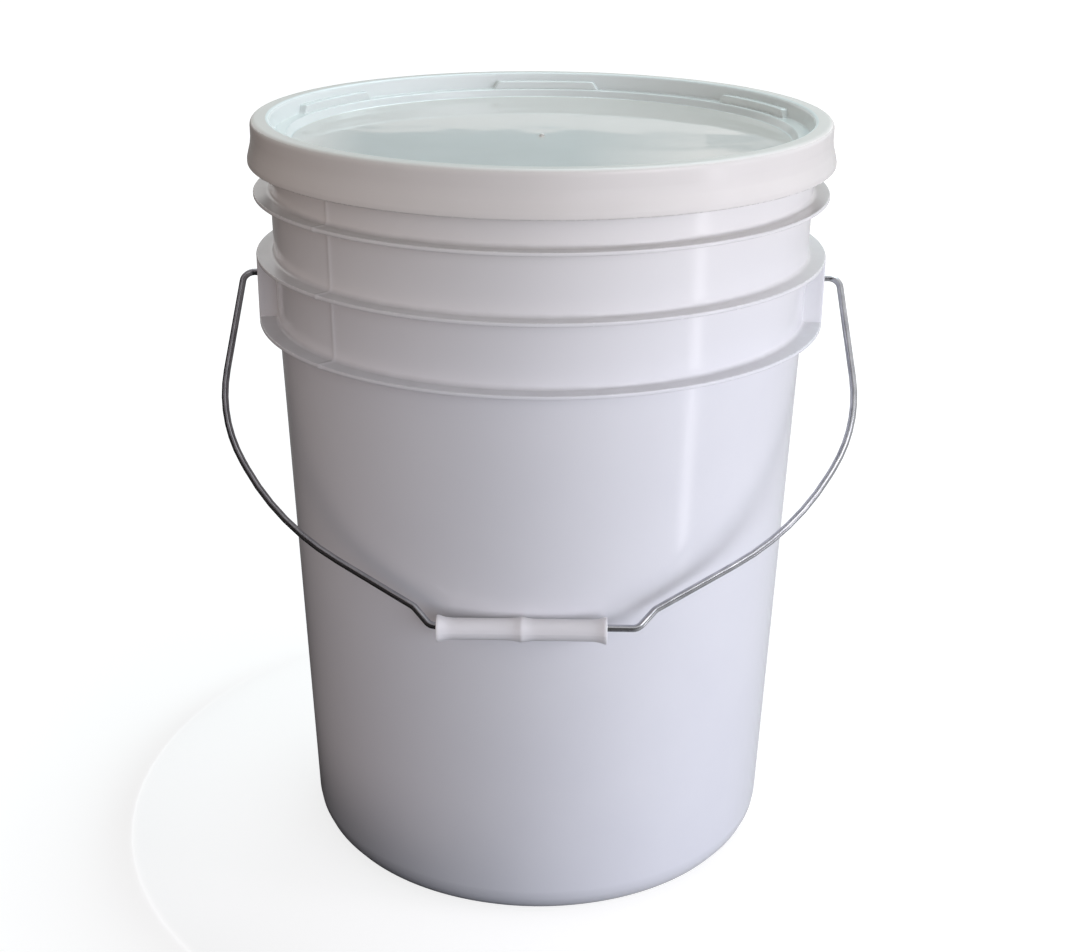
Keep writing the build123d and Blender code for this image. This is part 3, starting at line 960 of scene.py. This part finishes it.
def soft_light(name, azimuth, elevation, distance, width, height, watts, tint, aim, reflected, diffused):
    """One rectangular lamp on a sphere round its aim, a height on the pail's axis.

    Azimuth 0 is in front of the pail, and 90 at its right. reflected and diffused say whether
    reflections show it and whether it lights matt surfaces.
    """
    data = bpy.data.lights.new(name, "AREA")
    data.shape = "RECTANGLE"
    data.size, data.size_y = width, height
    data.energy = watts
    data.color = linear(tint)
    lamp = bpy.data.objects.new(name, data)
    bpy.context.scene.collection.objects.link(lamp)
    a, e = math.radians(azimuth), math.radians(elevation)
    back = Vector((math.sin(a) * math.cos(e), -math.cos(a) * math.cos(e), math.sin(e)))
    lamp.location = Vector((0, 0, aim)) + back * distance
    lamp.rotation_euler = back.to_track_quat("Z", "Y").to_euler()
    lamp.visible_camera = False
    lamp.visible_glossy, lamp.visible_diffuse = reflected, diffused


# The arguments of each soft_light. The window's two wide lamps light the right, the glint shows on
# rounded edges and the strip as a streak on the wall, the room lights the left, and the sky the tops
LAMPS = (
    ("window_key", 75, 9, 1.6, 0.45, 0.8, 7.9, "#f8f3ff", 0.22, False, True),
    ("window_fill", 40, 9, 1.8, 2.0, 0.8, 21.0, "#ecf1ff", 0.22, False, True),
    ("window_glint", 45, 42, 1.6, 0.9, 0.4, 4.5, "#f8f6ff", 0.22, True, False),
    ("window_strip", 60, 0, 0.5, 0.045, 0.335, 0.12, "#fcf9ff", 0.172, True, True),
    ("room_fill", -50, 10, 1.6, 2.6, 0.8, 5.8, "#ffe8e1", 0.22, True, True),
    ("sky_light", 155, 62, 1.5, 1.0, 1.0, 12.4, "#dff5fa", 0.22, True, True),
)


def studio_card(name, hex_code, x, y, z, cover, shades=False):
    """A matt sheet on a grid of x, y and z that the camera does not see, clear where cover is 0.

    Only reflections show it, unless it shades: then it also keeps light off what is behind it.
    """
    matt, shader, add = new_material(name)
    plug(shader, {"Base Color": rgba(linear(hex_code)), "Roughness": 0.9, "Specular IOR Level": 0.1})
    opaque = add("Attribute", out="Fac", attribute_name="cover")
    mixed = add("MixShader", {0: opaque, 1: add("BsdfTransparent"), 2: shader.outputs[0]})
    plug(matt.node_tree.nodes["Material Output"], {"Surface": mixed})
    grid = stacked(x, y, z, cover)
    faces = grid_quads(*grid.shape[:2], close_columns=False).reshape(-1, 4)
    card = stage_sheet(name, grid[..., :3].reshape(-1, 3).tolist(), faces.tolist(), matt)
    point_layer(card.data, "cover", grid[..., 3].ravel())
    card.visible_camera, card.visible_diffuse, card.visible_shadow = False, shades, shades


def studio_cards():
    """Cards that stand in for the room round the pail, all out of the camera's sight."""
    # A dark cloth lies all round, half clear at the right, with its far edge turned up, most at the left
    # and front: it keeps the white floor out of the plastic's edges and lets the wire read as metal
    dark, off_floor = "#2c2b2a", 0.0005
    turn = np.linspace(-55, 305, 73)
    radius, rise = np.array([(0.09, 0), (1.4, 0), (1.5, 1)]).T[..., None]
    edge = np.interp(turn, [125, 150], [0.45, 1.3])
    cover = np.interp(turn, [80, 130, 262, 305], [0.5, 1, 1, 0.5])
    turn = np.radians(turn)
    studio_card("studio_dark_cloth", dark, radius * np.cos(turn), radius * np.sin(turn),
                off_floor + rise * edge, cover)
    # A dim dome over the left and front keeps the rings' edges and the wire from shining there
    turn, rise, radius = np.linspace(-150, 6, 53), np.linspace(0, 90, 19)[:, None], 2.2
    cover = np.interp(turn, [-150, -120, -6, 6], [0, 1, 1, 0]) * np.interp(rise, [70, 90], [1, 0])
    turn, rise = np.radians(turn), np.radians(rise)
    studio_card("studio_dim_dome", "#e4d6d0", radius * np.sin(turn) * np.cos(rise),
                -radius * np.cos(turn) * np.cos(rise), radius * np.sin(rise), cover)
    # A grey card behind gives the lid's panel its darker side, and slats fine lines across the rest
    behind, low, high = 1.4, [0, 0.3, 0.3, 0.2], [0, 1, 1, 0]
    across, up = np.array([[-0.38, -0.26, 0.02, 0.2]]), np.array([[0.46], [0.64], [0.641], [1.3]])
    studio_card("studio_grey_card", "#cfe1e2", across, behind, up, np.array([low, low, high, high]))
    across, slat = np.array([[0.02, 0.6]]), np.array([[0], [0.01]])
    for number, height in enumerate((0.612, 0.642, 0.655, 0.688, 0.703, 0.735)):
        studio_card(f"studio_slat_{number}", "#9fb4b6", across, behind, height + slat, 0.7)
    # A low dark lip round the left of the base, thinner towards its top, shades the rounded corner
    turn, radius = np.linspace(-150, 10, 33), 0.24
    cover = np.outer([1, 1, 0], np.interp(turn, [-150, -110, -40, 10], [0, 1, 1, 0]))
    turn = np.radians(turn)
    studio_card("studio_dark_lip", dark, radius * np.sin(turn), -radius * np.cos(turn),
                np.array([[0.001], [0.04], [0.085]]), cover, shades=True)


class PAIL_OT_make_stage(bpy.types.Operator):
    """Build the floor, the backdrop, the lamps, the cards and the camera"""

    bl_idname = "pail.make_stage"
    bl_label = "Stage"

    def execute(self, context):
        scene = context.scene
        scene.view_settings.view_transform = "Standard"
        studio_floor(scene.pail_finishes)
        studio_backdrop(scene)
        for lamp in LAMPS:
            soft_light(*lamp)
        studio_cards()
        data = bpy.data.cameras.new("photo_camera")
        data.sensor_width = SENSOR_WIDTH
        data.lens = SENSOR_WIDTH * FOCAL_PIXELS / IMAGE_WIDTH
        camera = bpy.data.objects.new("photo_camera", data)
        scene.collection.objects.link(camera)
        camera.matrix_world = (Matrix.Rotation(CAMERA_YAW, 4, "Z") @ Matrix.Translation(CAMERA_PLACE)
                               @ Matrix.Rotation(math.pi / 2 - CAMERA_PITCH, 4, "X")
                               @ Matrix.Rotation(CAMERA_ROLL, 4, "Z"))
        scene.camera = camera
        return {"FINISHED"}


class PAIL_PT_sidebar(bpy.types.Panel):
    """Lists the pail's pieces and the stage"""

    bl_label = "Lidded pail"
    bl_space_type = "VIEW_3D"
    bl_region_type = "UI"
    bl_category = "Pail"

    def draw(self, context):
        for operator in OPERATORS:
            self.layout.operator(operator.bl_idname)


OPERATORS = (PAIL_OT_make_body, PAIL_OT_make_lid, PAIL_OT_make_seal, PAIL_OT_make_bail,
             PAIL_OT_make_grip, PAIL_OT_make_stage)
GROUPS = {"pail_sizes": PailSizes, "lid_sizes": LidSizes, "bail_sizes": BailSizes,
          "grip_sizes": GripSizes, "pail_finishes": PailFinishes}
CLASSES = (*GROUPS.values(), *OPERATORS, PAIL_PT_sidebar)


def register():
    """Register the classes and hang the groups of sizes on the scene."""
    for kind in CLASSES:
        bpy.utils.register_class(kind)
    for name, kind in GROUPS.items():
        setattr(bpy.types.Scene, name, PointerProperty(type=kind))


def unregister():
    """Undo what register did, in the opposite order."""
    for name in reversed(GROUPS):
        delattr(bpy.types.Scene, name)
    for kind in reversed(CLASSES):
        bpy.utils.unregister_class(kind)


def main():
    """Build every piece and the stage."""
    register()
    bpy.ops.pail.make_body()
    bpy.ops.pail.make_lid()
    bpy.ops.pail.make_seal()
    bpy.ops.pail.make_bail()
    bpy.ops.pail.make_grip()
    bpy.ops.pail.make_stage()


if __name__ == "__main__":
    main()
